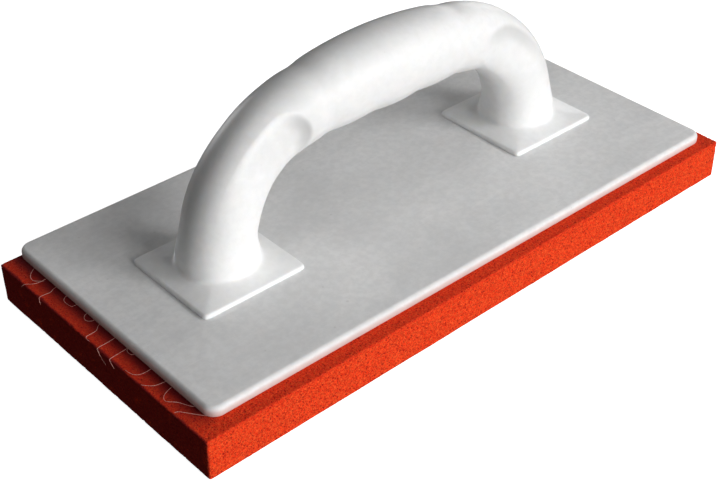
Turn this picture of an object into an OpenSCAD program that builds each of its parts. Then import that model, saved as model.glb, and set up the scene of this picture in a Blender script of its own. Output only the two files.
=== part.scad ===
// Hand float with a sponge rubber face: a plastic board with a bow handle, glued on a thick pad.
// Frame: the origin is the centre of the pad's working face. +Z is up, out of the pad and
// through the handle. +X runs along the length, from heel to toe. Sizes are millimetres.

/* [Pad] */
// Length of the rubber pad
pad_l = 270; // [225:1:330]
// Width of the rubber pad
pad_w = 130; // [108:1:160]
// Thickness of the rubber pad
pad_h = 16.8; // [8:0.2:30]

/* [Board] */
// Thickness of the board
board_h = 4; // [3:0.1:6]
// Radius of the board's four corners
corner_r = 5; // [2:0.5:12]
// Rounding of the board's top edge
edge_r = 1.8; // [0.4:0.1:2.4]
// Strip of pad left bare at the heel end
heel_margin = 7.9; // [0:0.1:10]
// Strip of pad left bare at the toe end
toe_margin = 4.1; // [0:0.1:10]
// Strip of pad left bare along the right side
right_margin = 6.1; // [0:0.1:10]
// Strip of pad left bare along the left side
left_margin = 0; // [0:0.1:10]
// How far the board was turned on the pad when it was glued, in degrees
board_turn = -0.4; // [-1:0.1:1]
// Thickness of the bonding layer, a woven scrim soaked in adhesive
bond_h = 0.2; // [0.1:0.1:0.6]
// How far the bonding layer stays back from the board's edge
bond_inset = 1.5; // [0.5:0.5:5]

/* [Handle] */
// Distance between the centres of the two feet
foot_spacing = 159; // [132:1:170]
// Side of each square foot
foot_w = 46; // [38:1:54]
// Outward bow of each side of the foot, from corner to middle
foot_crown = 0.3; // [0.2:0.1:1]
// Height of the foot's upright rim
foot_rim = 1; // [0.6:0.1:2.5]
// Width and height of the bevel above the rim
foot_bevel = 0.6; // [0.4:0.1:1.2]
// Height at which the leg grows out of the foot
foot_h = 5; // [4:0.1:7]
// Height of the grip's centre line above the board
bow_h = 55.3; // [46:0.1:68]
// Radius of the leg where it meets the foot
leg_r = 15.4; // [12.8:0.1:18.5]
// Radius of the leg's shaft
shaft_r = 14; // [12:0.1:16]
// Radius of the neck between leg and grip
neck_r = 13.3; // [11:0.1:15]
// Radius at the middle of the grip
grip_r = 15.8; // [13:0.1:18]
// Distance from one finger ridge to the next
finger_pitch = 23; // [19:0.5:25]
// Depth of the valleys between the finger swells
finger_depth = 0.9; // [0:0.1:2]
// Depth of the scoop in each side of each bend
scoop_depth = 1.4; // [0:0.1:1.8]
// Distance from the leg's centre line in to the start of the scoops
scoop_in = 36.5; // [30:0.5:41]
// Height of the scoops' lower ends above the board
scoop_low = 22; // [18:1:30]
// Thickness of the moulding round the hollow core
wall = 4.2; // [3:0.1:6]

/* [Screws] */
// Length of each screw
screw_l = 16; // [13:0.5:18]
// Outer radius of the thread
thread_r = 2; // [1.6:0.1:2.4]
// Radius of the countersunk head
head_r = 3.8; // [3.2:0.1:4.2]
// Distance between the two screws of a foot
screw_spacing = 15; // [13:0.5:16]

/* [Hidden] */

board_l = pad_l - heel_margin - toe_margin;
board_w = pad_w - left_margin - right_margin;
board_x = (heel_margin - toe_margin) / 2;
board_y = (right_margin - left_margin) / 2;

// Shape of the bow: two curves a side that meet at the shoulder
half_spacing = foot_spacing / 2;
shoulder_in = 19;
shoulder_drop = 11.3;
shoulder_angle = 35.5;
shoulder = [half_spacing - shoulder_in, bow_h - shoulder_drop];
leg_pull = 17;
leg_shoulder_pull = 14.5;
grip_shoulder_pull = 5.6;
grip_pull = 47;
leg_steps = 9;
grip_steps = 18;
ring_points = 32;
core_points = 12;

// The skin's cross-section is a rounded square at the foot and nearly round above it
foot_square = 18;
foot_steps = 5;
round_square = 2.15;
waist_depth = 0.5;
waist_length = 4;
scoop_edge = 3.5;
scoop_fade = 14;
scoop_side = [0.62, 0.3];
collar_share = 0.06;
flare_share = 0.3;
end_valley_length = 7;
finger_count = 3;
grip_half = finger_pitch * finger_count / 2;

// Screws, their holes and the clearances round them
head_h = 2.2;
head_sink = 0.2;
core_r = 1.4;
thread_pitch = 1.4;
tip_h = 3;
slot_w = 0.9;
slot_depth = 1.3;
thread_clearance = 0.05;
shank_clearance = 0.3;
head_clearance = 0.15;
tip_clearance = 1;
core_floor = 3;
cut = 0.01;
hole_depth = screw_l + head_sink - board_h + tip_clearance;

function bezier(a, b, c, d, t) =
    pow(1 - t, 3) * a + 3 * pow(1 - t, 2) * t * b + 3 * (1 - t) * t * t * c + pow(t, 3) * d;

// Point at share t of the leg, from the foot to the shoulder
function leg_point(t) =
    let (along = [-cos(shoulder_angle), sin(shoulder_angle)])
    bezier(
        [half_spacing, foot_h],
        [half_spacing, foot_h + leg_pull],
        shoulder - leg_shoulder_pull * along,
        shoulder,
        t
    );

// Point at share t of half the grip, from the shoulder to the middle
function grip_point(t) =
    let (along = [-cos(shoulder_angle), sin(shoulder_angle)])
    bezier(
        shoulder,
        shoulder + grip_shoulder_pull * along,
        [min(grip_pull, shoulder[0]), bow_h],
        [0, bow_h],
        t
    );

// Eases from 0 to 1 as u does
function ease(u) = (1 - cos(180 * max(0, min(1, u)))) / 2;

// Radius of the skin: it narrows up the leg and swells along the grip
function leg_radius(t) =
    t < collar_share ? leg_r
    : t < flare_share
        ? shaft_r + (leg_r - shaft_r) * pow((flare_share - t) / (flare_share - collar_share), 2)
        : shaft_r + (neck_r - shaft_r) * ease((t - flare_share) / (1 - flare_share));

function grip_radius(x) =
    neck_r + (grip_r - neck_r) * pow(cos(90 * x / shoulder[0]), 2)
        - waist_depth * exp(-pow((abs(x) - grip_half) / waist_length, 2));

// Right half of the bow, foot to middle: place, radius and squareness of each ring
right_half = [
    for (i = [0:leg_steps - 1])
        let (t = pow(i / leg_steps, 1.25))
        [leg_point(t), leg_radius(t)],
    for (i = [0:grip_steps])
        let (p = grip_point(i / grip_steps))
        [p, grip_radius(p[0])]
];
half_count = len(right_half);

// The whole bow, from the heel foot to the toe foot
bow = [
    for (i = [0:half_count - 1]) [[-right_half[i][0][0], right_half[i][0][1]], right_half[i][1]],
    for (i = [half_count - 2:-1:0]) right_half[i]
];
bow_last = len(bow) - 1;

// Direction of travel along the bow at ring i
function travel(i) =
    i == 0 ? [0, 1]
    : i == bow_last ? [0, -1]
    : let (step = bow[i + 1][0] - bow[i - 1][0]) step / norm(step);

// How deep the valleys between the finger swells are at x, where 0 is the outer face's angle
function finger_cut(x, angle) =
    abs(x) > grip_half
        ? 0
        : finger_depth * max(0, -cos(angle)) * (1 - abs(cos(180 * x / finger_pitch)))
            * (1 - exp(-pow((abs(x) - grip_half) / end_valley_length, 2)));

// How deep the side scoop is at a point of the bow, widest half way between outer and inner face
function scoop_cut(p, angle) =
    scoop_depth * ease((abs(p[0]) - half_spacing + scoop_in) / scoop_edge + 0.5)
        * ease((p[1] - scoop_low) / scoop_fade + 0.5)
        * ease((abs(sin(angle)) - scoop_side[0]) / scoop_side[1]);

// Distance from a ring's centre to its edge, for a square of rounding n
function edge_distance(angle, n) =
    pow(pow(abs(cos(angle)), n) + pow(abs(sin(angle)), n), -1 / n);

// A ring of points across the bow, inside its skin by inset
function bow_ring(i, count, inset) = [
    for (j = [0:count - 1])
        let (
            angle = 360 * j / count,
            centre = bow[i][0],
            along = travel(i),
            out = [-along[1], along[0]],
            r = edge_distance(angle, round_square) * (bow[i][1] - inset)
                - finger_cut(centre[0], angle)
                - scoop_cut(centre, angle),
            p = centre + r * cos(angle) * out
        )
        [p[0], r * sin(angle), p[1]]
];

// Half width and height of the rings that make a foot, and how far each has turned from the
// square rim to the round leg, from the board upwards
foot_rings = [
    [foot_w / 2, 0, 0],
    [foot_w / 2, foot_rim, 0],
    [foot_w / 2 - foot_bevel, foot_rim + foot_bevel, 0],
    for (k = [1:foot_steps - 1])
        let (
            u = k / foot_steps,
            low = foot_rim + foot_bevel
        )
        [foot_w / 2 - foot_bevel, low + (foot_h - low) * pow(u, 1.2), u]
];

// How far the foot's outline has drawn in at an angle, 1 at its corners
function corner_share(angle) =
    pow(min(abs(sin(angle)), abs(cos(angle))) / max(abs(sin(angle)), abs(cos(angle))), 2);

// Ring k of the foot at the end of the bow on side -1 or 1
function foot_ring(k, side) = [
    for (j = [0:ring_points - 1])
        let (
            angle = 360 * j / ring_points,
            square = foot_rings[k][0] * edge_distance(angle, foot_square)
                - foot_crown * corner_share(angle),
            round = leg_r * edge_distance(angle, round_square),
            r = square + (round - square) * foot_rings[k][2]
        )
        [side * (half_spacing + r * cos(angle)), r * sin(angle), foot_rings[k][1]]
];

// A closed skin over a list of rings that all have the same number of points
module skin(rings) {
    count = len(rings[0]);
    last = len(rings) - 1;
    sides = [
        for (i = [0:last - 1], j = [0:count - 1])
            let (
                a = i * count + j,
                b = i * count + (j + 1) % count
            )
            each [[a, b, b + count], [a, b + count, a + count]]
    ];
    start_cap = [for (j = [count - 1:-1:0]) j];
    end_cap = [for (j = [0:count - 1]) last * count + j];
    polyhedron(
        points = [for (ring = rings) each ring],
        faces = concat(sides, [start_cap, end_cap])
    );
}

// A slab with round corners that stands on z = 0
module rounded_slab(l, w, h, r) {
    linear_extrude(h) {
        square([l - 2 * r, w], center = true);
        square([l, w - 2 * r], center = true);
        for (x = [-1, 1], y = [-1, 1])
            translate([x * (l / 2 - r), y * (w / 2 - r)])
                circle(r, $fn = 48);
    }
}

// The frame of what is glued on the pad: z = 0 is the top of the pad
module on_pad() {
    translate([board_x, board_y, pad_h])
        rotate([0, 0, board_turn])
            children();
}

// The places of a screw's axis on the board
module at_screw(end, side) {
    translate([end * half_spacing, side * screw_spacing / 2, 0])
        children();
}

module sponge_pad() {
    color([0.88, 0.24, 0.10])
        translate([-pad_l / 2, -pad_w / 2, 0])
            cube([pad_l, pad_w, pad_h]);
}

module bonding_layer() {
    color([0.93, 0.80, 0.74])
        on_pad()
            rounded_slab(board_l - 2 * bond_inset, board_w - 2 * bond_inset, bond_h, corner_r);
}

// One corner of the board, rounded over at the top
module board_corner() {
    rotate_extrude($fn = 32) {
        square([corner_r, board_h - edge_r]);
        square([corner_r - edge_r, board_h]);
        translate([corner_r - edge_r, board_h - edge_r])
            intersection() {
                circle(edge_r, $fn = 24);
                square(edge_r);
            }
    }
}

// Clearance for a screw through the board, with its countersink in the underside
module board_screw_hole() {
    translate([0, 0, -cut])
        cylinder(r = thread_r + shank_clearance, h = board_h + 2 * cut, $fn = 48);
    translate([0, 0, -cut])
        cylinder(
            r1 = head_r + head_clearance + head_sink,
            r2 = thread_r + shank_clearance,
            h = head_h + head_sink + cut,
            $fn = 48
        );
}

module backing_board() {
    color([0.93, 0.93, 0.92])
        on_pad()
            translate([0, 0, bond_h])
                difference() {
                    hull()
                        for (x = [-1, 1], y = [-1, 1])
                            translate([
                                x * (board_l / 2 - corner_r),
                                y * (board_w / 2 - corner_r),
                                0
                            ])
                                board_corner();
                    for (end = [-1, 1], side = [-1, 1])
                        at_screw(end, side)
                            board_screw_hole();
                }
}

module handle() {
    foot_count = len(foot_rings);
    core_rings = [
        for (i = [0:bow_last])
            if (bow[i][0][1] > hole_depth + core_floor) bow_ring(i, core_points, wall)
    ];
    color([0.97, 0.97, 0.96])
        on_pad()
            translate([0, 0, bond_h + board_h])
                difference() {
                    skin(concat(
                        [for (k = [0:foot_count - 1]) foot_ring(k, -1)],
                        [for (i = [0:bow_last]) bow_ring(i, ring_points, 0)],
                        [for (k = [foot_count - 1:-1:0]) foot_ring(k, 1)]
                    ));
                    skin(core_rings);
                    for (end = [-1, 1], side = [-1, 1])
                        at_screw(end, side)
                            translate([0, 0, -cut])
                                cylinder(
                                    r = thread_r + thread_clearance,
                                    h = hole_depth + cut,
                                    $fn = 48
                                );
                }
}

// A countersunk self-tapping screw with its head down, its thread drawn as rings
module screw() {
    thread_start = head_h + thread_pitch;
    turns = floor((screw_l - tip_h - thread_start) / thread_pitch);
    thread_end = thread_start + turns * thread_pitch;
    difference() {
        rotate_extrude($fn = 48)
            polygon(concat(
                [[0, 0], [head_r, 0], [thread_r, head_h], [thread_r, thread_start - thread_pitch / 2]],
                [
                    for (k = [0:turns - 1])
                        each [
                            [core_r, thread_start + k * thread_pitch],
                            [thread_r, thread_start + (k + 0.5) * thread_pitch]
                        ]
                ],
                [[core_r, thread_end], [core_r, screw_l - tip_h], [0, screw_l]]
            ));
        for (turn = [0, 90])
            rotate([0, 0, turn])
                translate([-head_r * 0.6, -slot_w / 2, -cut])
                    cube([head_r * 1.2, slot_w, slot_depth + cut]);
    }
}

// The screw at one end of the board, on one side of the handle
module placed_screw(end, side) {
    color([0.72, 0.72, 0.70])
        on_pad()
            translate([0, 0, bond_h + head_sink])
                at_screw(end, side)
                    screw();
}

module heel_screw_left() {
    placed_screw(-1, 1);
}

module heel_screw_right() {
    placed_screw(-1, -1);
}

module toe_screw_left() {
    placed_screw(1, 1);
}

module toe_screw_right() {
    placed_screw(1, -1);
}

sponge_pad();
bonding_layer();
backing_board();
handle();
heel_screw_left();
heel_screw_right();
toe_screw_left();
toe_screw_right();
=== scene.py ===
import math

import bmesh
import bpy
from mathutils import Matrix, Vector, geometry, noise


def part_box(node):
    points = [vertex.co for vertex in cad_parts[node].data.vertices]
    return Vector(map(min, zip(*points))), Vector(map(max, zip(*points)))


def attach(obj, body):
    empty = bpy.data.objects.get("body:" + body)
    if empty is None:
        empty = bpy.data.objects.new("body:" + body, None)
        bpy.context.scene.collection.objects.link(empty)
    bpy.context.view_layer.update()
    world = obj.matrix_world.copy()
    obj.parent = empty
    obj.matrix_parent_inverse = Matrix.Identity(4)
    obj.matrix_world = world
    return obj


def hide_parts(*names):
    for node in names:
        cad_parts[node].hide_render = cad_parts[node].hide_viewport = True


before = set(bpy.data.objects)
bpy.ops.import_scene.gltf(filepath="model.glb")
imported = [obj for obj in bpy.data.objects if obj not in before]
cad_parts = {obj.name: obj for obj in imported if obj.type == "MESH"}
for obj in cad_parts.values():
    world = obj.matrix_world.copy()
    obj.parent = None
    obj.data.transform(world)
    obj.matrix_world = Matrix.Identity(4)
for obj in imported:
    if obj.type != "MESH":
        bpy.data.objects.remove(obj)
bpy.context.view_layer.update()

MM = 0.001
ROOT = "root"
SCREWS = ("heel_screw_left", "heel_screw_right", "toe_screw_left", "toe_screw_right")


# Places taken from the CAD nodes ---------------------------------------------------------------

def middle(node):
    """Middle of a node's box."""
    lo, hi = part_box(node)
    return (lo + hi) / 2


PAD_LO, PAD_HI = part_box("sponge_pad")
BOARD_LO, BOARD_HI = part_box("backing_board")
HEEL = (middle("heel_screw_left") + middle("heel_screw_right")) / 2
TOE = (middle("toe_screw_left") + middle("toe_screw_right")) / 2
TURN = math.atan2(TOE.y - HEEL.y, TOE.x - HEEL.x)
HALF_SPACING = math.hypot(TOE.x - HEEL.x, TOE.y - HEEL.y) / 2 / MM
CENTRE = (HEEL + TOE) / 2

BOARD_CORNER = 5.0
BOARD_TOP = BOARD_HI.z
BOARD_H = (BOARD_HI.z - BOARD_LO.z) / MM


def board_size():
    """True length and width of the board in millimetres, from its box and its turn."""
    c, s = math.cos(TURN), abs(math.sin(TURN))
    bx = (BOARD_HI.x - BOARD_LO.x) / MM - 2 * BOARD_CORNER
    by = (BOARD_HI.y - BOARD_LO.y) / MM - 2 * BOARD_CORNER
    det = c * c - s * s
    return (bx * c - by * s) / det + 2 * BOARD_CORNER, (by * c - bx * s) / det + 2 * BOARD_CORNER


BOARD_L, BOARD_W = board_size()
BOARD_PLACE = (
    Matrix.Translation(Vector((
        (BOARD_LO.x + BOARD_HI.x) / 2,
        (BOARD_LO.y + BOARD_HI.y) / 2,
        BOARD_LO.z,
    )))
    @ Matrix.Rotation(TURN, 4, "Z")
)
HANDLE_PLACE = (
    Matrix.Translation(Vector((CENTRE.x, CENTRE.y, BOARD_TOP)))
    @ Matrix.Rotation(TURN, 4, "Z")
)


# Small helpers ---------------------------------------------------------------------------------

def clamp(v, lo=0.0, hi=1.0):
    return max(lo, min(hi, v))


def ease(u):
    """Half a cosine wave from 0 to 1."""
    u = clamp(u)
    return (1 - math.cos(math.pi * u)) / 2


def step(lo, hi, v):
    """Smooth step from 0 at lo to 1 at hi. With hi below lo it falls instead."""
    u = clamp((v - lo) / (hi - lo))
    return u * u * (3 - 2 * u)


def mesh_object(name, verts, faces, smooth_angle):
    """A mesh object from points in metres, shaded smooth up to an angle in degrees."""
    mesh = bpy.data.meshes.new(name)
    mesh.from_pydata([tuple(v) for v in verts], [], faces)
    mesh.validate()
    mesh.update()
    mesh.polygons.foreach_set("use_smooth", [True] * len(mesh.polygons))
    mesh.set_sharp_from_angle(angle=math.radians(smooth_angle))
    obj = bpy.data.objects.new(name, mesh)
    bpy.context.scene.collection.objects.link(obj)
    return obj


def wall(ring_count, n):
    """Faces between neighbouring rings of n points each."""
    faces = []
    for i in range(ring_count - 1):
        for j in range(n):
            a, b = i * n + j, i * n + (j + 1) % n
            faces.append((a, b, b + n, a + n))
    return faces


def loft(rings):
    """Points and faces of a closed skin over rings that have the same number of points."""
    n = len(rings[0])
    verts = [p for ring in rings for p in ring]
    last = (len(rings) - 1) * n
    faces = wall(len(rings), n)
    faces.append(tuple(range(n - 1, -1, -1)))
    faces.append(tuple(range(last, last + n)))
    return verts, faces


# Camera ----------------------------------------------------------------------------------------

CAMERA_PLACE = (-0.3109, -0.3391, 0.3307)
CAMERA_AZIMUTH = math.radians(41.5)
CAMERA_DROP = math.radians(36.0)
CAMERA_ROLL = math.radians(-0.61)
CAMERA_LENS = 69.45


def add_camera():
    """The camera. Its azimuth turns from +Y towards +X, and its drop is below the horizon."""
    cam = bpy.data.cameras.new("camera")
    cam.sensor_width = 36.0
    cam.lens = CAMERA_LENS
    cam.clip_start = 0.01
    cam.clip_end = 50
    obj = bpy.data.objects.new("camera", cam)
    bpy.context.scene.collection.objects.link(obj)
    forward = Vector((
        math.sin(CAMERA_AZIMUTH) * math.cos(CAMERA_DROP),
        math.cos(CAMERA_AZIMUTH) * math.cos(CAMERA_DROP),
        -math.sin(CAMERA_DROP),
    ))
    level = Vector((math.cos(CAMERA_AZIMUTH), -math.sin(CAMERA_AZIMUTH), 0))
    up = level.cross(forward)
    right = level * math.cos(CAMERA_ROLL) + up * math.sin(CAMERA_ROLL)
    up = right.cross(forward)
    turn = Matrix((right, up, -forward)).transposed().to_4x4()
    obj.matrix_world = Matrix.Translation(Vector(CAMERA_PLACE)) @ turn
    bpy.context.scene.camera = obj


# Materials -------------------------------------------------------------------------------------

class Nodes:
    """A small writer of node trees."""

    def __init__(self, name):
        self.mat = bpy.data.materials.new(name)
        self.mat.use_nodes = True
        self.tree = self.mat.node_tree
        self.tree.nodes.clear()
        self.out = self.tree.nodes.new("ShaderNodeOutputMaterial")
        self.bsdf = self.tree.nodes.new("ShaderNodeBsdfPrincipled")
        self.link(self.bsdf.outputs[0], self.out.inputs["Surface"])
        self.coord = self.tree.nodes.new("ShaderNodeTexCoord").outputs["Object"]

    def link(self, a, b):
        self.tree.links.new(a, b)

    def put(self, socket, value):
        """Links a socket to the input, or sets a plain value on it."""
        if isinstance(value, bpy.types.NodeSocket):
            self.link(value, socket)
        elif value is not None:
            socket.default_value = value

    def mapped(self, scale):
        """The object's coordinates, stretched along each axis."""
        node = self.tree.nodes.new("ShaderNodeMapping")
        self.link(self.coord, node.inputs["Vector"])
        node.inputs["Scale"].default_value = scale
        return node.outputs[0]

    def noise(self, scale, detail=4.0, rough=0.55, distortion=0.0, vector=None):
        node = self.tree.nodes.new("ShaderNodeTexNoise")
        self.link(vector or self.coord, node.inputs["Vector"])
        node.inputs["Scale"].default_value = scale
        node.inputs["Detail"].default_value = detail
        node.inputs["Roughness"].default_value = rough
        node.inputs["Distortion"].default_value = distortion
        return node.outputs["Fac"]

    def cells(self, scale, vector=None):
        """Distance to the nearest cell's middle, and a colour for each cell."""
        node = self.tree.nodes.new("ShaderNodeTexVoronoi")
        self.link(vector or self.coord, node.inputs["Vector"])
        node.inputs["Scale"].default_value = scale
        return node.outputs["Distance"], node.outputs["Color"]

    def warped(self, amount, scale):
        """The object's coordinates, pushed about by a noise."""
        node = self.tree.nodes.new("ShaderNodeTexNoise")
        self.link(self.coord, node.inputs["Vector"])
        node.inputs["Scale"].default_value = scale
        node.inputs["Detail"].default_value = 1.0
        push = self.tree.nodes.new("ShaderNodeVectorMath")
        push.operation = "MULTIPLY_ADD"
        self.link(node.outputs["Color"], push.inputs[0])
        push.inputs[1].default_value = (amount, amount, amount)
        self.link(self.coord, push.inputs[2])
        return push.outputs[0]

    def ramp(self, value, stops):
        """A grey for the value, between stops of (place, tone)."""
        node = self.tree.nodes.new("ShaderNodeValToRGB")
        self.put(node.inputs["Fac"], value)
        while len(node.color_ramp.elements) < len(stops):
            node.color_ramp.elements.new(0.5)
        for element, (place, tone) in zip(node.color_ramp.elements, stops):
            element.position = place
            element.color = (tone, tone, tone, 1)
        return node.outputs["Color"]

    def math(self, kind, a, b=None, c=None):
        node = self.tree.nodes.new("ShaderNodeMath")
        node.operation = kind
        for socket, value in zip(node.inputs, (a, b, c)):
            self.put(socket, value)
        return node.outputs[0]

    def mix(self, factor, a, b):
        node = self.tree.nodes.new("ShaderNodeMix")
        node.data_type = "RGBA"
        self.put(node.inputs["Factor"], factor)
        for socket, value in zip((node.inputs[6], node.inputs[7]), (a, b)):
            self.put(socket, (*value, 1) if isinstance(value, tuple) else value)
        return node.outputs[2]

    def bump(self, height, distance, strength, normal=None):
        node = self.tree.nodes.new("ShaderNodeBump")
        node.inputs["Strength"].default_value = strength
        node.inputs["Distance"].default_value = distance
        self.put(node.inputs["Height"], height)
        self.put(node.inputs["Normal"], normal)
        return node.outputs[0]

    def place(self):
        """The three coordinates of the point, along the part's own axes, in metres."""
        node = self.tree.nodes.new("ShaderNodeSeparateXYZ")
        self.link(self.coord, node.inputs[0])
        return node.outputs

    def attribute(self, name):
        """A value kept on the points of the mesh."""
        node = self.tree.nodes.new("ShaderNodeAttribute")
        node.attribute_name = name
        return node.outputs["Fac"]

    def channel(self, colour, index=0):
        """Red, green or blue of a colour, by index."""
        node = self.tree.nodes.new("ShaderNodeSeparateColor")
        self.link(colour, node.inputs[0])
        return node.outputs[index]


# A ramp is read in 256 steps from 0 to 1, so a place in metres is multiplied before it goes in
OVER_20_MM = 50
OVER_22_MM = 45
OVER_100_MM = 10
# How far the edge of the painted shadow beside the board wanders, in metres
SHADOW_WANDER = 0.0024


def foam_material():
    """Cut cellular rubber: small open cells, painted highlights on the walls that catch the light,
    painted shade deep red in the pits.

    The top is painted a little darker, as shade. Beside the board's heel edge the top carries a
    painted shadow of the board, and the cut end face at the heel is painted darker, as shade.
    """
    m = Nodes("cut_sponge_rubber")
    blotch = m.noise(55, 3)
    base = m.mix(blotch, (0.93, 0.040, 0.008), (1.0, 0.056, 0.012))
    fine = m.noise(1300, 3, 0.75)
    # painted highlight: the cell walls that catch the light are painted brighter
    lit = m.ramp(fine, [(0.42, 0.0), (0.68, 1.0)])
    base = m.mix(lit, base, (1.0, 0.140, 0.034))
    web = m.ramp(m.noise(1150, 4, 0.8, 0.5), [(0.40, 1.0), (0.54, 0.0)])
    base = m.mix(m.math("MULTIPLY", web, 0.55), base, (0.46, 0.020, 0.006))

    cell, cell_tone = m.cells(1050, vector=m.warped(0.0004, 900))
    size = m.math("MULTIPLY_ADD", m.channel(cell_tone), 0.38, 0.10)
    pit = m.ramp(m.math("SUBTRACT", size, cell), [(0.0, 0.0), (0.22, 1.0)])
    grain, grain_tone = m.cells(2100)
    small = m.math("SUBTRACT", m.math("MULTIPLY", m.channel(grain_tone, 1), 0.55), grain)
    small_pit = m.ramp(small, [(0.0, 0.0), (0.15, 1.0)])

    # painted shade: the pits of the open cells are painted dark, deep red
    colour = m.mix(m.math("MULTIPLY", small_pit, 0.75), base, (0.52, 0.010, 0.006))
    colour = m.mix(m.math("MULTIPLY", pit, 0.85), colour, (0.36, 0.008, 0.008))

    place = m.place()
    # painted shade: the pad's top is painted a little darker
    top = m.ramp(m.math("MULTIPLY", place["Z"], OVER_20_MM), [(0.77, 0.0), (0.81, 1.0)])
    colour = m.mix(m.math("MULTIPLY", top, 0.28), colour, (0.60, 0.012, 0.008))
    # painted shadow: the board's heel edge casts it onto the pad's top beside the board
    wander = m.math("MULTIPLY_ADD", m.noise(150, 3), SHADOW_WANDER, -SHADOW_WANDER / 2)
    inward = m.math("ADD", m.math("ADD", place["X"], -PAD_LO.x), wander)
    inward = m.math("MULTIPLY", inward, OVER_20_MM)
    heel = m.ramp(inward, [(0.04, 0.25), (0.20, 0.48), (0.34, 0.9), (0.46, 1.0), (0.60, 0.0)])
    across = m.math("MULTIPLY", m.math("ADD", place["Y"], -PAD_LO.y), OVER_100_MM)
    beside = m.ramp(across, [(0.05, 0.0), (0.14, 1.0)])
    board_shadow = m.math("MULTIPLY", m.math("MULTIPLY", heel, top), beside)
    colour = m.mix(board_shadow, colour, (0.14, 0.007, 0.011))
    # painted shade: the pad's heel end face is painted darker
    end = m.ramp(inward, [(0.02, 0.74), (0.06, 0.0)])
    colour = m.mix(end, colour, (0.12, 0.006, 0.014))
    m.put(m.bsdf.inputs["Base Color"], colour)
    m.put(m.bsdf.inputs["Roughness"], m.ramp(fine, [(0.3, 0.8), (0.7, 0.95)]))
    m.bsdf.inputs["Specular IOR Level"].default_value = 0.08

    height = m.math("MULTIPLY", pit, -1.0)
    height = m.math("MULTIPLY_ADD", small_pit, -0.5, height)
    height = m.math("MULTIPLY_ADD", fine, 0.9, height)
    m.put(m.bsdf.inputs["Normal"], m.bump(height, 0.0004, 0.5))
    return m.mat


def board_material():
    """Moulded white thermoplastic, marbled by its flow, with fine scuffs, and a painted reddish
    reflection of the pad with painted shade low on its sides.
    """
    m = Nodes("board_plastic")
    flow = m.noise(10, 5, 0.62, 1.8, m.mapped((0.55, 1.5, 1.0)))
    cloud = m.noise(38, 5, 0.62, 0.6)
    mottle = m.noise(330, 3, 0.6)
    tone = m.mix(m.ramp(flow, [(0.34, 0.0), (0.66, 1.0)]), (0.76, 0.76, 0.76), (0.88, 0.88, 0.875))
    tone = m.mix(m.ramp(cloud, [(0.40, 0.0), (0.68, 0.6)]), tone, (0.91, 0.905, 0.90))
    tone = m.mix(m.ramp(mottle, [(0.40, 0.30), (0.62, 0.0)]), tone, (0.66, 0.66, 0.66))
    hair = m.noise(75, 3, 0.6, 0.8, m.mapped((0.6, 7.0, 1.0)))
    hair = m.ramp(hair, [(0.60, 0.0), (0.70, 1.0)])
    cross = m.noise(70, 3, 0.6, 0.8, m.mapped((7.0, 0.8, 1.0)))
    cross = m.ramp(cross, [(0.64, 0.0), (0.74, 1.0)])
    patches = m.ramp(m.noise(20, 3), [(0.44, 0.0), (0.62, 1.0)])
    scuff = m.math("MULTIPLY", m.math("MAXIMUM", hair, cross), patches)
    tone = m.mix(m.math("MULTIPLY", scuff, 0.5), tone, (0.90, 0.90, 0.895))
    speck, speck_tone = m.cells(160)
    dirt = m.math("SUBTRACT", m.math("MULTIPLY", m.channel(speck_tone), 0.10), speck)
    dirt = m.ramp(dirt, [(0.0, 0.0), (0.03, 1.0)])
    tone = m.mix(m.math("MULTIPLY", dirt, 0.25), tone, (0.48, 0.46, 0.44))
    # painted reflection and shade: the board's sides are painted darker and pinker towards the pad
    pad_reflection = m.ramp(m.math("MULTIPLY", m.place()["Z"], OVER_22_MM), [(0.79, 0.75), (0.90, 0.0)])
    tone = m.mix(pad_reflection, tone, (0.60, 0.43, 0.38))
    m.put(m.bsdf.inputs["Base Color"], tone)
    rough = m.ramp(m.noise(48, 4), [(0.3, 0.44), (0.7, 0.58)])
    m.put(m.bsdf.inputs["Roughness"], m.math("MULTIPLY_ADD", scuff, 0.15, rough))
    m.bsdf.inputs["Specular IOR Level"].default_value = 0.3
    m.bsdf.inputs["Subsurface Weight"].default_value = 0.35
    m.bsdf.inputs["Subsurface Radius"].default_value = (1.0, 0.85, 0.75)
    m.bsdf.inputs["Subsurface Scale"].default_value = 0.0025
    height = m.math("MULTIPLY_ADD", scuff, -0.5, mottle)
    grain = m.bump(height, 0.00006, 0.8)
    m.put(m.bsdf.inputs["Normal"], m.bump(m.noise(30, 2, 0.5), 0.0003, 0.4, grain))
    return m.mat


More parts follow.
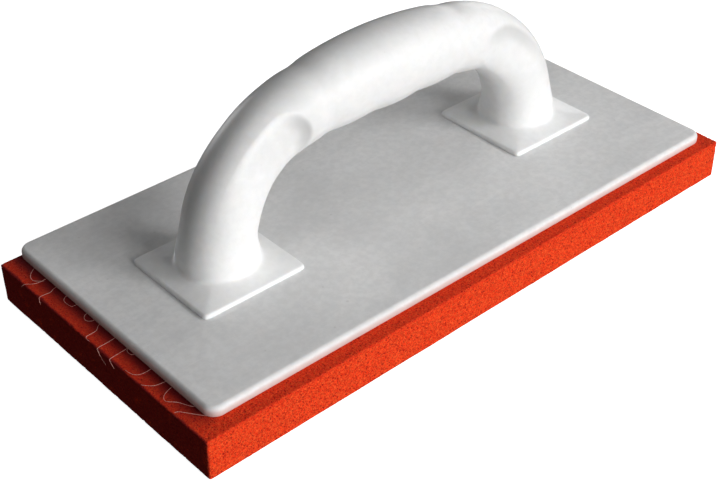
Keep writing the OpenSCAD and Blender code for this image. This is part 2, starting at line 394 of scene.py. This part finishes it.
def handle_material():
    """Moulded white thermoplastic, fine mould texture, and painted shade on the scoops' walls."""
    m = Nodes("handle_plastic")
    cloud = m.noise(30, 5, 0.6, 0.8)
    mottle = m.noise(300, 3, 0.6)
    tone = m.mix(m.ramp(cloud, [(0.34, 0.0), (0.68, 1.0)]), (0.87, 0.87, 0.865), (0.945, 0.945, 0.94))
    tone = m.mix(m.ramp(mottle, [(0.38, 0.22), (0.60, 0.0)]), tone, (0.78, 0.78, 0.775))
    speck, speck_tone = m.cells(210)
    dirt = m.math("SUBTRACT", m.math("MULTIPLY", m.channel(speck_tone), 0.08), speck)
    dirt = m.ramp(dirt, [(0.0, 0.0), (0.03, 1.0)])
    tone = m.mix(m.math("MULTIPLY", dirt, 0.14), tone, (0.55, 0.52, 0.49))
    # painted shade: the scoops' walls that turn from the light are painted darker
    wall_shade = m.math("MULTIPLY", m.attribute("scoop_shade"), m.ramp(cloud, [(0.30, 0.75), (0.60, 1.0)]))
    tone = m.mix(wall_shade, tone, (0.60, 0.60, 0.595))
    m.put(m.bsdf.inputs["Base Color"], tone)
    m.put(m.bsdf.inputs["Roughness"], m.ramp(m.noise(40, 4), [(0.3, 0.36), (0.7, 0.50)]))
    m.bsdf.inputs["Specular IOR Level"].default_value = 0.4
    m.bsdf.inputs["Subsurface Weight"].default_value = 0.35
    m.bsdf.inputs["Subsurface Radius"].default_value = (1.0, 0.85, 0.7)
    m.bsdf.inputs["Subsurface Scale"].default_value = 0.0022
    grain = m.bump(mottle, 0.00006, 0.8)
    m.put(m.bsdf.inputs["Normal"], m.bump(m.noise(60, 2, 0.5), 0.0002, 0.35, grain))
    return m.mat


def bond_material():
    """Adhesive-soaked open weave, pale pinkish white."""
    m = Nodes("bond_scrim")
    across = m.noise(260, 2, 0.5, 0.0, m.mapped((1.0, 9.0, 1.0)))
    along = m.noise(260, 2, 0.5, 0.0, m.mapped((9.0, 1.0, 1.0)))
    yarn = m.math("MAXIMUM", across, along)
    weave = m.ramp(yarn, [(0.42, 0.0), (0.62, 1.0)])
    m.put(m.bsdf.inputs["Base Color"], m.mix(weave, (0.74, 0.40, 0.33), (0.92, 0.80, 0.76)))
    m.put(m.bsdf.inputs["Roughness"], m.ramp(weave, [(0.0, 0.35), (1.0, 0.7)]))
    m.put(m.bsdf.inputs["Normal"], m.bump(weave, 0.0001, 0.8))
    return m.mat


def yarn_material():
    """A thin yarn stiffened by adhesive."""
    m = Nodes("loose_yarn")
    fibre = m.noise(2600, 3, 0.6)
    tone = m.mix(m.ramp(fibre, [(0.35, 0.0), (0.65, 1.0)]), (0.60, 0.20, 0.16), (0.86, 0.48, 0.42))
    m.put(m.bsdf.inputs["Base Color"], tone)
    m.put(m.bsdf.inputs["Roughness"], m.ramp(fibre, [(0.3, 0.45), (0.7, 0.7)]))
    m.put(m.bsdf.inputs["Normal"], m.bump(fibre, 0.00005, 0.6))
    return m.mat


def zinc_material():
    """Bright zinc plating with fine turning marks and a few dull patches."""
    m = Nodes("zinc_plated_steel")
    dull = m.noise(700, 3)
    patches = m.ramp(dull, [(0.4, 0.0), (0.65, 1.0)])
    m.put(m.bsdf.inputs["Base Color"], m.mix(patches, (0.70, 0.70, 0.69), (0.52, 0.52, 0.50)))
    m.bsdf.inputs["Metallic"].default_value = 1.0
    m.put(m.bsdf.inputs["Roughness"], m.ramp(dull, [(0.3, 0.24), (0.7, 0.46)]))
    rings = m.noise(900, 2, 0.5, 0.0, m.mapped((0.3, 0.3, 6.0)))
    m.put(m.bsdf.inputs["Normal"], m.bump(rings, 0.00003, 0.6))
    return m.mat


def floor_material():
    """Pale studio floor that gives off light of its own, so that it reads as an even white."""
    m = Nodes("studio_floor")
    grain = m.noise(3, 3)
    m.put(m.bsdf.inputs["Base Color"], m.mix(grain, (0.93, 0.93, 0.93), (0.95, 0.95, 0.95)))
    m.put(m.bsdf.inputs["Roughness"], m.ramp(grain, [(0.0, 0.85), (1.0, 0.95)]))
    m.bsdf.inputs["Specular IOR Level"].default_value = 0.0
    m.bsdf.inputs["Emission Color"].default_value = (1.0, 1.0, 1.0, 1.0)
    m.bsdf.inputs["Emission Strength"].default_value = 0.92
    return m.mat


# Handle ----------------------------------------------------------------------------------------

# Foot: its half side, how square it is, and the rim, bevel and fillet that lead up to the leg
FOOT_HALF = 23.0
FOOT_SQUARE = 26.0
FOOT_H = 5.0
FOOT_RIM = 0.8
FOOT_BEVEL = 1.1
FOOT_CHAMFER = 0.2
BEVEL_STEPS = 6
FOOT_STEPS = 36
FILLET = 1.6
FILLET_H = 0.9

# Bow: two curves a side, which meet at the shoulder
BOW_H = 55.3
SHOULDER = (HALF_SPACING - 19.0, BOW_H - 11.3)
SHOULDER_ANGLE = math.radians(35.5)
ALONG = (-math.cos(SHOULDER_ANGLE), math.sin(SHOULDER_ANGLE))
LEG_PULL = 17.0
LEG_SHOULDER_PULL = 14.5
GRIP_SHOULDER_PULL = 5.6
GRIP_PULL = 47.0
LEG_STEPS = 62
GRIP_STEPS = 122

# Cross-section: points in a ring, how square it is, and its radius along the bow
RING = 160
CROWDING = 0.15
ROUND = 2.12
LEG_R = 15.4
SHAFT_R = 14.0
NECK_R = 13.3
GRIP_R = 15.8
COLLAR_END = 0.065
FLARE_END = 0.3
WAIST_DEPTH = 0.5
WAIST_LENGTH = 4.0

# Finger swells under the grip
FINGER_PITCH = 23.0
FINGER_DEPTH = 0.95
GRIP_HALF = FINGER_PITCH * 1.5
END_VALLEY = 0.15
END_VALLEY_LENGTH = 7.0
VALLEY_ROUNDING = 0.006

# Scoops: a long dish in each side of each bend, with half widths to the outer and inner side
SCOOP_DEPTH = 2.7
SCOOP_END_HEEL = 9.5
SCOOP_END_TOE = 20.0
SCOOP_HALF = 11.0
SCOOP_OUT = 10.5
SCOOP_START = 43.0
SCOOP_LOW = 20.0
SCOOP_FADE = 8.0
SCOOP_LONG_FADE = (6.0, 30.0)
LEG_FROM = 60


def bezier(a, b, c, d, t):
    k = ((1 - t) ** 3, 3 * (1 - t) ** 2 * t, 3 * (1 - t) * t * t, t ** 3)
    return tuple(sum(w * p[i] for w, p in zip(k, (a, b, c, d))) for i in (0, 1))


def shoulder_pull(length):
    """A point on the line through the shoulder. A positive length is towards the grip."""
    return (SHOULDER[0] + length * ALONG[0], SHOULDER[1] + length * ALONG[1])


def leg_point(t):
    foot = (HALF_SPACING, FOOT_H)
    above = (HALF_SPACING, FOOT_H + LEG_PULL)
    return bezier(foot, above, shoulder_pull(-LEG_SHOULDER_PULL), SHOULDER, t)


def grip_point(t):
    return bezier(SHOULDER, shoulder_pull(GRIP_SHOULDER_PULL), (GRIP_PULL, BOW_H), (0.0, BOW_H), t)


def leg_radius(t):
    if t < COLLAR_END:
        return LEG_R
    if t < FLARE_END:
        return SHAFT_R + (LEG_R - SHAFT_R) * ((FLARE_END - t) / (FLARE_END - COLLAR_END)) ** 2
    return SHAFT_R + (NECK_R - SHAFT_R) * ease((t - FLARE_END) / (1 - FLARE_END))


def waist(x):
    """Bell curve round each end of the grip."""
    return math.exp(-(((abs(x) - GRIP_HALF) / WAIST_LENGTH) ** 2))


def grip_radius(x):
    swell = (GRIP_R - NECK_R) * math.cos(math.pi / 2 * x / SHOULDER[0]) ** 2
    return NECK_R + swell - WAIST_DEPTH * waist(x)


def bow_line():
    """Centre line and radius of the bow from the heel foot to the toe foot."""
    half = [(leg_point(i / LEG_STEPS), leg_radius(i / LEG_STEPS)) for i in range(LEG_STEPS)]
    for i in range(GRIP_STEPS + 1):
        p = grip_point(i / GRIP_STEPS)
        half.append((p, grip_radius(p[0])))
    return [((-p[0], p[1]), r) for p, r in half] + half[-2::-1]


def bow_direction(line, i):
    """Direction of the bow at a ring. The first and the last stand upright in the feet."""
    if i == 0:
        return (0.0, 1.0)
    if i == len(line) - 1:
        return (0.0, -1.0)
    a, b = line[i - 1][0], line[i + 1][0]
    size = math.hypot(b[0] - a[0], b[1] - a[1])
    return ((b[0] - a[0]) / size, (b[1] - a[1]) / size)


def ring_angles():
    """Angles round a ring, closer together at the corners of a square."""
    even = [2 * math.pi * j / RING for j in range(RING)]
    return [u + CROWDING * math.sin(4 * u) for u in even]


def square_reach(angle, n):
    """Reach of a rounded square at an angle. A higher n has sharper corners."""
    return (abs(math.cos(angle)) ** n + abs(math.sin(angle)) ** n) ** (-1 / n)


def finger_cut(x, angle):
    """Broad swells under the grip with narrow valleys between them."""
    under = max(0.0, -math.cos(angle)) ** 0.85
    if abs(x) > GRIP_HALF:
        return FINGER_DEPTH * under * END_VALLEY * waist(x)
    wave = abs(math.cos(math.pi * x / FINGER_PITCH))
    near_end = math.exp(-(((abs(x) - GRIP_HALF) / END_VALLEY_LENGTH) ** 2))
    share = 1 - (1 - END_VALLEY) * near_end
    valley = 1 - math.sqrt(wave * wave + VALLEY_ROUNDING) / math.sqrt(1 + VALLEY_ROUNDING)
    return FINGER_DEPTH * under * share * valley


def scoop_lengths(line):
    """Length along the bow from the start of the toe side's scoop, for every ring."""
    run, total = [0.0], 0.0
    for (a, _), (b, _) in zip(line, line[1:]):
        total += math.hypot(b[0] - a[0], b[1] - a[1])
        run.append(total)
    start = next(s for s, (p, _) in zip(run, line) if p[0] > SCOOP_START)
    return [s - start for s in run]


def scoop_end(line, lengths):
    """Length along the bow at which the scoops run out, low on the leg."""
    return next(
        length for (p, _), length in zip(line, lengths)
        if p[0] > LEG_FROM and p[1] < SCOOP_LOW
    )


def scoop(p, length, end, angle, r):
    """A long dish in each side of the bend, with a round end towards the grip.

    Gives its depth and the painted shade on its walls, which lies on the end wall at the heel and
    on the outer wall at the toe.
    """
    if length < 0 or p[1] < SCOOP_LOW:
        return 0.0, 0.0
    side = r * math.cos(angle)
    across = side / SCOOP_OUT if side > 0 else -side / SCOOP_HALF
    end_wall = SCOOP_END_TOE if p[0] > 0 else SCOOP_END_HEEL
    ahead = max(0.0, end_wall - length) / end_wall
    reach = math.hypot(across, ahead)
    if reach >= 1:
        return 0.0, 0.0
    left = end - length
    fade = 0.25 * step(0.0, SCOOP_FADE, left) + 0.75 * step(*SCOOP_LONG_FADE, left)
    slope = step(0.2, 0.65, reach) * step(1.0, 0.8, reach) * fade
    # painted shade: on the outer wall at the toe and on the end wall at the heel
    if p[0] > 0:
        wall_shade = across if side > 0 else 0.0
    else:
        wall_shade = ahead
    return SCOOP_DEPTH * (1 - reach ** 2) ** 1.3 * fade, slope * wall_shade


def foot_rings():
    """Half width, height and share of the leg's roundness of a foot's rings, from the board up."""
    low, wide = FOOT_RIM + FOOT_BEVEL, FOOT_HALF - FOOT_BEVEL
    rings = [(FOOT_HALF - FOOT_CHAMFER, 0.0, 0.0), (FOOT_HALF, FOOT_CHAMFER, 0.0)]
    for k in range(BEVEL_STEPS + 1):
        a = math.pi / 2 * k / BEVEL_STEPS
        rings.append((wide + FOOT_BEVEL * math.cos(a), FOOT_RIM + FOOT_BEVEL * math.sin(a), 0.0))
    for k in range(1, FOOT_STEPS):
        u = k / FOOT_STEPS
        rings.append((wide, low + (FOOT_H - FILLET_H - low) * (0.75 * u + 0.25 * u ** 3), u))
    return rings


def foot_ring(ring, side, angles):
    """Points of one ring of a foot. Side is -1 at the heel and 1 at the toe."""
    half, z, share = ring
    out = []
    for a in angles:
        rim, leg = half * square_reach(a, FOOT_SQUARE), LEG_R * square_reach(a, ROUND)
        r = (1 - share) * rim + share * leg
        near = max(0.0, 1 - (r - leg) / FILLET)
        rise = FILLET_H * (1 - math.sqrt(1 - min(1.0, near) ** 2)) if share > 0 else 0.0
        x = side * HALF_SPACING + side * r * math.cos(a)
        out.append((x, r * math.sin(a), z + rise))
    return out


def bow_ring(p, radius, along, length, end, angles):
    """Points of one ring of the bow, and the painted shade that each carries."""
    out = (-along[1], along[0])
    ring, scoop_shade = [], []
    for a in angles:
        r = radius * square_reach(a, ROUND)
        depth, wall_shade = scoop(p, length, end, a, r)
        scoop_shade.append(wall_shade)
        r -= finger_cut(p[0], a) + depth
        ring.append((
            p[0] + r * math.cos(a) * out[0],
            r * math.sin(a),
            p[1] + r * math.cos(a) * out[1],
        ))
    return ring, scoop_shade


def make_handle():
    line = bow_line()
    lengths = scoop_lengths(line)
    end = scoop_end(line, lengths)
    angles = ring_angles()
    foot = foot_rings()
    unshaded = [0.0] * (len(foot) * RING)
    rings = [foot_ring(ring, -1, angles) for ring in foot]
    scoop_shade = list(unshaded)
    for i, (p, radius) in enumerate(line):
        twin = max(i, len(line) - 1 - i)
        ring, wall_shade = bow_ring(p, radius, bow_direction(line, i), lengths[twin], end, angles)
        rings.append(ring)
        scoop_shade += wall_shade
    rings += [foot_ring(ring, 1, angles) for ring in reversed(foot)]
    scoop_shade += unshaded
    verts, faces = loft(rings)
    verts = [HANDLE_PLACE @ (Vector(v) * MM) for v in verts]
    handle = mesh_object("bow_handle", verts, faces, 34)
    # the painted shade of the scoops' walls is kept on the points
    handle.data.attributes.new("scoop_shade", "FLOAT", "POINT").data.foreach_set("value", scoop_shade)
    handle.data.materials.append(handle_material())
    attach(handle, ROOT)
    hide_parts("handle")


# Board -----------------------------------------------------------------------------------------

BOARD_EDGE = 1.8
EDGE_STEPS = 10
CORNER_STEPS = 14
SIDE_STEPS = (40, 20)
QUARTERS = ((1, 1), (-1, 1), (-1, -1), (1, -1))


def board_ring(inset, z):
    """Points round the board, anticlockwise, drawn in by inset."""
    r = max(0.3, BOARD_CORNER - inset)
    hx, hy = BOARD_L / 2 - inset - r, BOARD_W / 2 - inset - r
    out = []
    for k, (sx, sy) in enumerate(QUARTERS):
        for i in range(CORNER_STEPS + 1):
            a = math.pi / 2 * (k + i / CORNER_STEPS)
            out.append((sx * hx + r * math.cos(a), sy * hy + r * math.sin(a), z))
        nx, ny = QUARTERS[(k + 1) % 4]
        a = math.pi / 2 * (k + 1)
        p = out[-1]
        q = (nx * hx + r * math.cos(a), ny * hy + r * math.sin(a), z)
        n = SIDE_STEPS[k % 2]
        for i in range(1, n):
            u = i / n
            out.append((p[0] + (q[0] - p[0]) * u, p[1] + (q[1] - p[1]) * u, z))
    return out


def make_board():
    shoulder = BOARD_H - BOARD_EDGE
    profile = [(0.35, 0.0), (0.08, 0.12), (0.0, 0.4), (0.0, shoulder - 0.05)]
    for i in range(EDGE_STEPS + 1):
        a = math.pi / 2 * i / EDGE_STEPS
        profile.append((BOARD_EDGE * (1 - math.cos(a)), shoulder + BOARD_EDGE * math.sin(a)))
    profile += [(BOARD_EDGE + 0.5, BOARD_H), (BOARD_EDGE + 2.0, BOARD_H)]
    verts, faces = loft([board_ring(inset, z) for inset, z in profile])
    verts = [BOARD_PLACE @ (Vector(v) * MM) for v in verts]
    board = mesh_object("float_board", verts, faces, 40)
    board.data.materials.append(board_material())
    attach(board, ROOT)
    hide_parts("backing_board")


# Pad -------------------------------------------------------------------------------------------

# Cell of the mesh, rounding of edges and corners, width of the top's cut strip and depth of cut
CELL = 0.56
PAD_EDGE = 0.5
PAD_CORNER = 1.0
PAD_EDGE_STEPS = 3
STRIP = 8.4
SKIN = 0.12

# Points that the flat middle of the top and the underside are filled with
FILL_PITCH = 6.0
FILL_SHIFT = 1.5
FILL_MARGIN = 3.0


def pore(p):
    """How far an open cell sinks the cut face at p, in millimetres."""
    q = Vector(p) / 1.15
    near, points = noise.voronoi(q)
    tone = noise.cell(points[0] * 7.3)
    size = 0.22 + 0.34 * abs(tone)
    deep = 0.42 * step(size, size * 0.35, near[0])
    q = Vector(p) / 2.9 + Vector((17.3, 4.1, 9.9))
    near, points = noise.voronoi(q)
    big = abs(noise.cell(points[0] * 5.1))
    deep += 0.5 * step(0.20, 0.08, near[0]) * (1.0 if big > 0.55 else 0.0)
    return deep


def sag(p):
    """Slow unevenness of the cut, in millimetres."""
    slow = noise.noise(Vector(p) / 26.0)
    quick = noise.noise(Vector(p) / 6.0 + Vector((5, 3, 1)))
    return 0.13 * slow + 0.07 * quick


def cut_depth(p, inset, tilt):
    """How far the skin sinks at p. The top sinks less, and fades out at the end of its strip."""
    edge_fade = 0.55 if 0 < abs(tilt) < 1 else 1.0
    deep = (SKIN + sag(p)) + pore(p) * edge_fade
    if tilt == 1.0:
        deep = 0.02 + 0.5 * (deep - SKIN) * clamp((STRIP - inset) / 2.0)
    return max(0.0, deep)


def pad_outline(hx, hy):
    """Points round the pad, anticlockwise: x, y and the direction outwards."""
    nx, ny = round(2 * hx / CELL), round(2 * hy / CELL)
    square = []
    for a, b, n in (
        ((hx, -hy), (hx, hy), ny), ((hx, hy), (-hx, hy), nx),
        ((-hx, hy), (-hx, -hy), ny), ((-hx, -hy), (hx, -hy), nx),
    ):
        for i in range(n):
            u = i / n
            square.append((a[0] + (b[0] - a[0]) * u, a[1] + (b[1] - a[1]) * u))
    outline = []
    for x, y in square:
        dx, dy = abs(x) - (hx - PAD_CORNER), abs(y) - (hy - PAD_CORNER)
        if dx > 0 and dy > 0:
            d = math.hypot(dx, dy)
            sx, sy = math.copysign(1, x), math.copysign(1, y)
            x = sx * (hx - PAD_CORNER + PAD_CORNER * dx / d)
            y = sy * (hy - PAD_CORNER + PAD_CORNER * dy / d)
            outwards = Vector((sx * dx / d, sy * dy / d))
        elif abs(x) / hx > abs(y) / hy:
            outwards = Vector((math.copysign(1, x), 0))
        else:
            outwards = Vector((0, math.copysign(1, y)))
        outline.append((x, y, outwards))
    return outline


def pad_rows(h):
    """Inset, height and tilt of the skin's rows: bottom edge, sides, top edge, strip of top."""
    e, steps = PAD_EDGE, PAD_EDGE_STEPS
    rows = []
    for i in range(steps):
        a = math.pi / 2 * i / steps
        rows.append((e * (1 - math.sin(a)), e * (1 - math.cos(a)), -math.cos(a)))
    levels = round((h - 2 * e) / CELL)
    for i in range(levels + 1):
        rows.append((0.0, e + (h - 2 * e) * i / levels, 0.0))
    for i in range(1, steps + 1):
        a = math.pi / 2 * i / steps
        rows.append((e * (1 - math.cos(a)), h - e * (1 - math.sin(a)), math.sin(a)))
    top_rings = round((STRIP - e) / (CELL * 1.15))
    for i in range(1, top_rings + 1):
        rows.append((e + (STRIP - e) * i / top_rings, h, 1.0))
    return rows


def fill(verts, faces, first, n, turn):
    """Triangles across the flat outline of n points whose first point is at first."""
    z = verts[first].z
    loop = [Vector((verts[first + j].x, verts[first + j].y)) for j in range(n)]
    reach_x = max(abs(p.x) for p in loop) - FILL_MARGIN
    reach_y = max(abs(p.y) for p in loop) - FILL_MARGIN
    kx, ky = int(reach_x / FILL_PITCH), int(reach_y / FILL_PITCH)
    inner = []
    for a in range(-kx, kx + 1):
        for b in range(-ky, ky + 1):
            shift = FILL_SHIFT if b % 2 else -FILL_SHIFT
            inner.append(Vector((a * FILL_PITCH + shift, b * FILL_PITCH)))
    edges = [(j, (j + 1) % n) for j in range(n)]
    points, _, tris, origin, _, _ = geometry.delaunay_2d_cdt(loop + inner, edges, [], 1, 1e-5)
    index = {}
    for k, sources in enumerate(origin):
        rim = [s for s in sources if s < n]
        if rim:
            index[k] = first + rim[0]
        else:
            index[k] = len(verts)
            verts.append(Vector((points[k].x, points[k].y, z)))
    for t in tris:
        t = [index[k] for k in t]
        faces.append(tuple(reversed(t)) if turn else tuple(t))


def make_pad():
    hx, hy = (PAD_HI.x - PAD_LO.x) / 2 / MM, (PAD_HI.y - PAD_LO.y) / 2 / MM
    h = (PAD_HI.z - PAD_LO.z) / MM
    outline = pad_outline(hx, hy)
    rows = pad_rows(h)
    n, last = len(outline), len(rows) - 1
    verts = []
    for index, (inset, z, tilt) in enumerate(rows):
        fx, fy = (hx - inset) / hx, (hy - inset) / hy
        side = math.sqrt(max(0.0, 1 - tilt * tilt))
        for x, y, outwards in outline:
            p = Vector((x * fx, y * fy, z))
            if 0 < index < last:
                normal = Vector((outwards.x * side, outwards.y * side, tilt))
                p = p - normal * cut_depth(p, inset, tilt)
                p.z = clamp(p.z, 0.0, h)
            verts.append(p)
    faces = wall(len(rows), n)
    fill(verts, faces, 0, n, True)
    fill(verts, faces, last * n, n, False)
    centre = Vector(((PAD_LO.x + PAD_HI.x) / 2, (PAD_LO.y + PAD_HI.y) / 2, PAD_LO.z))
    pad = mesh_object("pad_foam", [centre + v * MM for v in verts], faces, 75)
    pad.data.materials.append(foam_material())
    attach(pad, ROOT)
    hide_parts("sponge_pad")


# Loose yarn ends at the heel -------------------------------------------------------------------

# Each yarn: points (x, y, z) in millimetres from the pad's heel edge, the pad's middle line and
# the pad's top. Negative z hangs down the heel face.
YARNS = [
    [
        (10.0, 54.5, 0.1), (7.8, 53.4, 0.25), (4.9, 50.6, 0.5), (3.9, 48.4, 0.45),
        (4.3, 46.6, 0.3), (6.8, 44.4, 0.2),
    ],
    [
        (10.0, 45.4, 0.1), (7.3, 45.0, 0.2), (5.2, 44.7, 0.4), (3.0, 45.3, 0.35),
        (0.7, 47.4, 0.2), (-0.4, 48.6, -1.0),
    ],
    [
        (10.0, 38.6, 0.1), (7.1, 38.0, 0.2), (4.9, 36.9, 0.3), (1.0, 37.1, 0.3),
        (-0.2, 36.2, 0.1), (-0.5, 35.3, -1.6),
    ],
    [
        (10.0, 31.5, 0.1), (7.2, 30.6, 0.3), (5.6, 28.3, 0.6), (5.9, 24.4, 0.6),
        (7.2, 24.2, 0.3), (9.5, 24.8, 0.1),
    ],
    [
        (10.0, 17.8, 0.1), (7.7, 17.2, 0.3), (6.1, 16.0, 0.5), (5.6, 14.2, 0.3),
        (7.0, 12.8, 0.1), (9.6, 12.4, 0.1),
    ],
    [
        (10.0, 9.3, 0.1), (7.5, 8.8, 0.3), (4.9, 6.6, 0.5), (1.0, 6.4, 0.35),
        (0.2, 5.2, 0.3), (0.3, 3.4, 0.2),
    ],
    [
        (10.0, -0.5, 0.1), (7.7, -0.9, 0.25), (4.6, -1.3, 0.3), (0.5, -1.5, 0.3),
        (-0.3, -2.6, 0.0), (-0.45, -4.6, -1.8), (-0.4, -7.0, -3.6),
    ],
    [
        (10.0, -8.2, 0.1), (7.0, -8.6, 0.2), (5.6, -8.8, 0.3), (0.5, -9.3, 0.3),
        (-0.3, -10.4, -0.1), (-0.45, -12.6, -1.6),
    ],
    [
        (10.0, -7.4, 0.1), (8.4, -8.6, 0.3), (6.9, -10.0, 0.5), (6.8, -12.2, 0.5),
        (8.3, -13.2, 0.2), (10.0, -13.6, 0.1),
    ],
    [
        (1.0, -17.5, 0.2), (1.1, -19.6, 0.3), (1.8, -21.8, 0.4), (3.8, -23.2, 0.4),
        (7.9, -23.1, 0.2), (10.0, -22.9, 0.1),
    ],
    [
        (0.6, -27.4, 0.2), (1.5, -28.8, 0.3), (3.5, -30.9, 0.4), (7.1, -31.6, 0.2),
        (10.0, -31.7, 0.1),
    ],
    [
        (7.9, -35.2, 0.1), (5.4, -36.1, 0.3), (2.9, -37.5, 0.4), (2.0, -40.0, 0.4),
        (4.5, -43.1, 0.5), (6.9, -47.5, 0.3), (9.6, -49.8, 0.1),
    ],
    [
        (1.0, -46.2, 0.2), (2.4, -47.1, 0.3), (5.2, -51.4, 0.5), (7.9, -54.7, 0.3),
        (10.0, -55.8, 0.1),
    ],
]
YARN_R = 0.085
YARN_SIDES = 7
PATH_STEPS = 7


def smooth_path(points):
    """Catmull-Rom curve through the points."""
    ends = [points[0] * 2 - points[1]] + points + [points[-1] * 2 - points[-2]]
    out = []
    for i in range(1, len(ends) - 2):
        p0, p1, p2, p3 = ends[i - 1:i + 3]
        for k in range(PATH_STEPS):
            t = k / PATH_STEPS
            out.append(0.5 * (
                2 * p1 + (p2 - p0) * t + (2 * p0 - 5 * p1 + 4 * p2 - p3) * t * t
                + (3 * p1 - p0 - 3 * p2 + p3) * t ** 3
            ))
    out.append(ends[-2])
    return out


def tube(path, verts, faces):
    """Adds a yarn along the path to the points and faces, a little uneven and thin at its ends."""
    side = Vector((0, 0, 1))
    rings = []
    for i, p in enumerate(path):
        a, b = path[max(0, i - 1)], path[min(len(path) - 1, i + 1)]
        along = (b - a).normalized()
        side = (side - along * side.dot(along)).normalized()
        other = along.cross(side)
        end = 0.55 if i in (0, len(path) - 1) else 1.0
        r = YARN_R * end * (1 + 0.18 * noise.noise(p * 1.7))
        angles = [2 * math.pi * j / YARN_SIDES for j in range(YARN_SIDES)]
        rings.append([p + (side * math.cos(a) + other * math.sin(a)) * r for a in angles])
    v, f = loft(rings)
    start = len(verts)
    verts.extend(v)
    faces.extend(tuple(start + k for k in face) for face in f)


def make_yarns():
    verts, faces = [], []
    heel_edge = Vector((PAD_LO.x, (PAD_LO.y + PAD_HI.y) / 2, PAD_HI.z))
    for yarn in YARNS:
        path = smooth_path([Vector(p) for p in yarn])
        path = [Vector((p.x, p.y, p.z + 0.05 * noise.noise(p * 0.9))) for p in path]
        tube(path, verts, faces)
    yarns = mesh_object("loose_yarn_ends", [heel_edge + v * MM for v in verts], faces, 80)
    yarns.data.materials.append(yarn_material())
    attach(yarns, ROOT)


# Studio ----------------------------------------------------------------------------------------

LIGHT_DISTANCE = 1.6
LIGHT_SIDE = 0.5
LIGHT_TARGET = Vector((0, 0, 0.04))
FLOOR_HALF = 6.0
FLOOR_DROP = 0.0002


def area_light(name, azimuth, elevation, power):
    """A soft square light that looks at the object. Azimuth 0 is +X, 90 is +Y."""
    light = bpy.data.lights.new(name, "AREA")
    light.shape = "RECTANGLE"
    light.size, light.size_y = LIGHT_SIDE, LIGHT_SIDE
    light.energy = power
    obj = bpy.data.objects.new(name, light)
    bpy.context.scene.collection.objects.link(obj)
    a, e = math.radians(azimuth), math.radians(elevation)
    away = Vector((math.cos(e) * math.cos(a), math.cos(e) * math.sin(a), math.sin(e)))
    place = LIGHT_TARGET + LIGHT_DISTANCE * away
    turn = (place - LIGHT_TARGET).to_track_quat("Z", "Y").to_matrix().to_4x4()
    obj.matrix_world = Matrix.Translation(place) @ turn


def make_studio():
    """Floor, lights, and a pale world that is seen but doesn't light the object."""
    mesh = bpy.data.meshes.new("floor")
    bm = bmesh.new()
    signs = ((-1, -1), (1, -1), (1, 1), (-1, 1))
    corners = [bm.verts.new((x * FLOOR_HALF, y * FLOOR_HALF, 0.0)) for x, y in signs]
    bm.faces.new(corners)
    bm.to_mesh(mesh)
    bm.free()
    floor = bpy.data.objects.new("floor", mesh)
    bpy.context.scene.collection.objects.link(floor)
    floor.location.z = PAD_LO.z - FLOOR_DROP
    floor.data.materials.append(floor_material())
    floor.visible_diffuse = False
    floor.visible_glossy = False

    area_light("key_low", -90, 8, 9.0)
    area_light("key_left", -90, 24, 6.4)
    area_light("key_right", -60, 24, 10.0)
    area_light("key_high", -60, 42, 1.9)
    area_light("high", -30, 42, 1.0)
    area_light("side", 0, 24, 2.6)
    area_light("side_back", 30, 8, 3.4)
    area_light("back", 90, 8, 5.0)
    area_light("heel_low", -150, 8, 1.8)
    area_light("crown", 180, 65, 0.9)

    world = bpy.data.worlds.new("studio")
    world.use_nodes = True
    background = world.node_tree.nodes["Background"]
    background.inputs["Color"].default_value = (1, 1, 1, 1)
    background.inputs["Strength"].default_value = 0.92
    world.cycles_visibility.diffuse = False
    world.cycles_visibility.glossy = False
    bpy.context.scene.world = world
    bpy.context.scene.view_settings.view_transform = "Standard"


def dress(node, material):
    """Gives a piece that keeps its CAD mesh its material."""
    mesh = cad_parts[node].data
    mesh.materials.clear()
    mesh.materials.append(material)


add_camera()
make_studio()
make_pad()
make_board()
make_handle()
make_yarns()

dress("bonding_layer", bond_material())
zinc = zinc_material()
for screw in SCREWS:
    dress(screw, zinc)
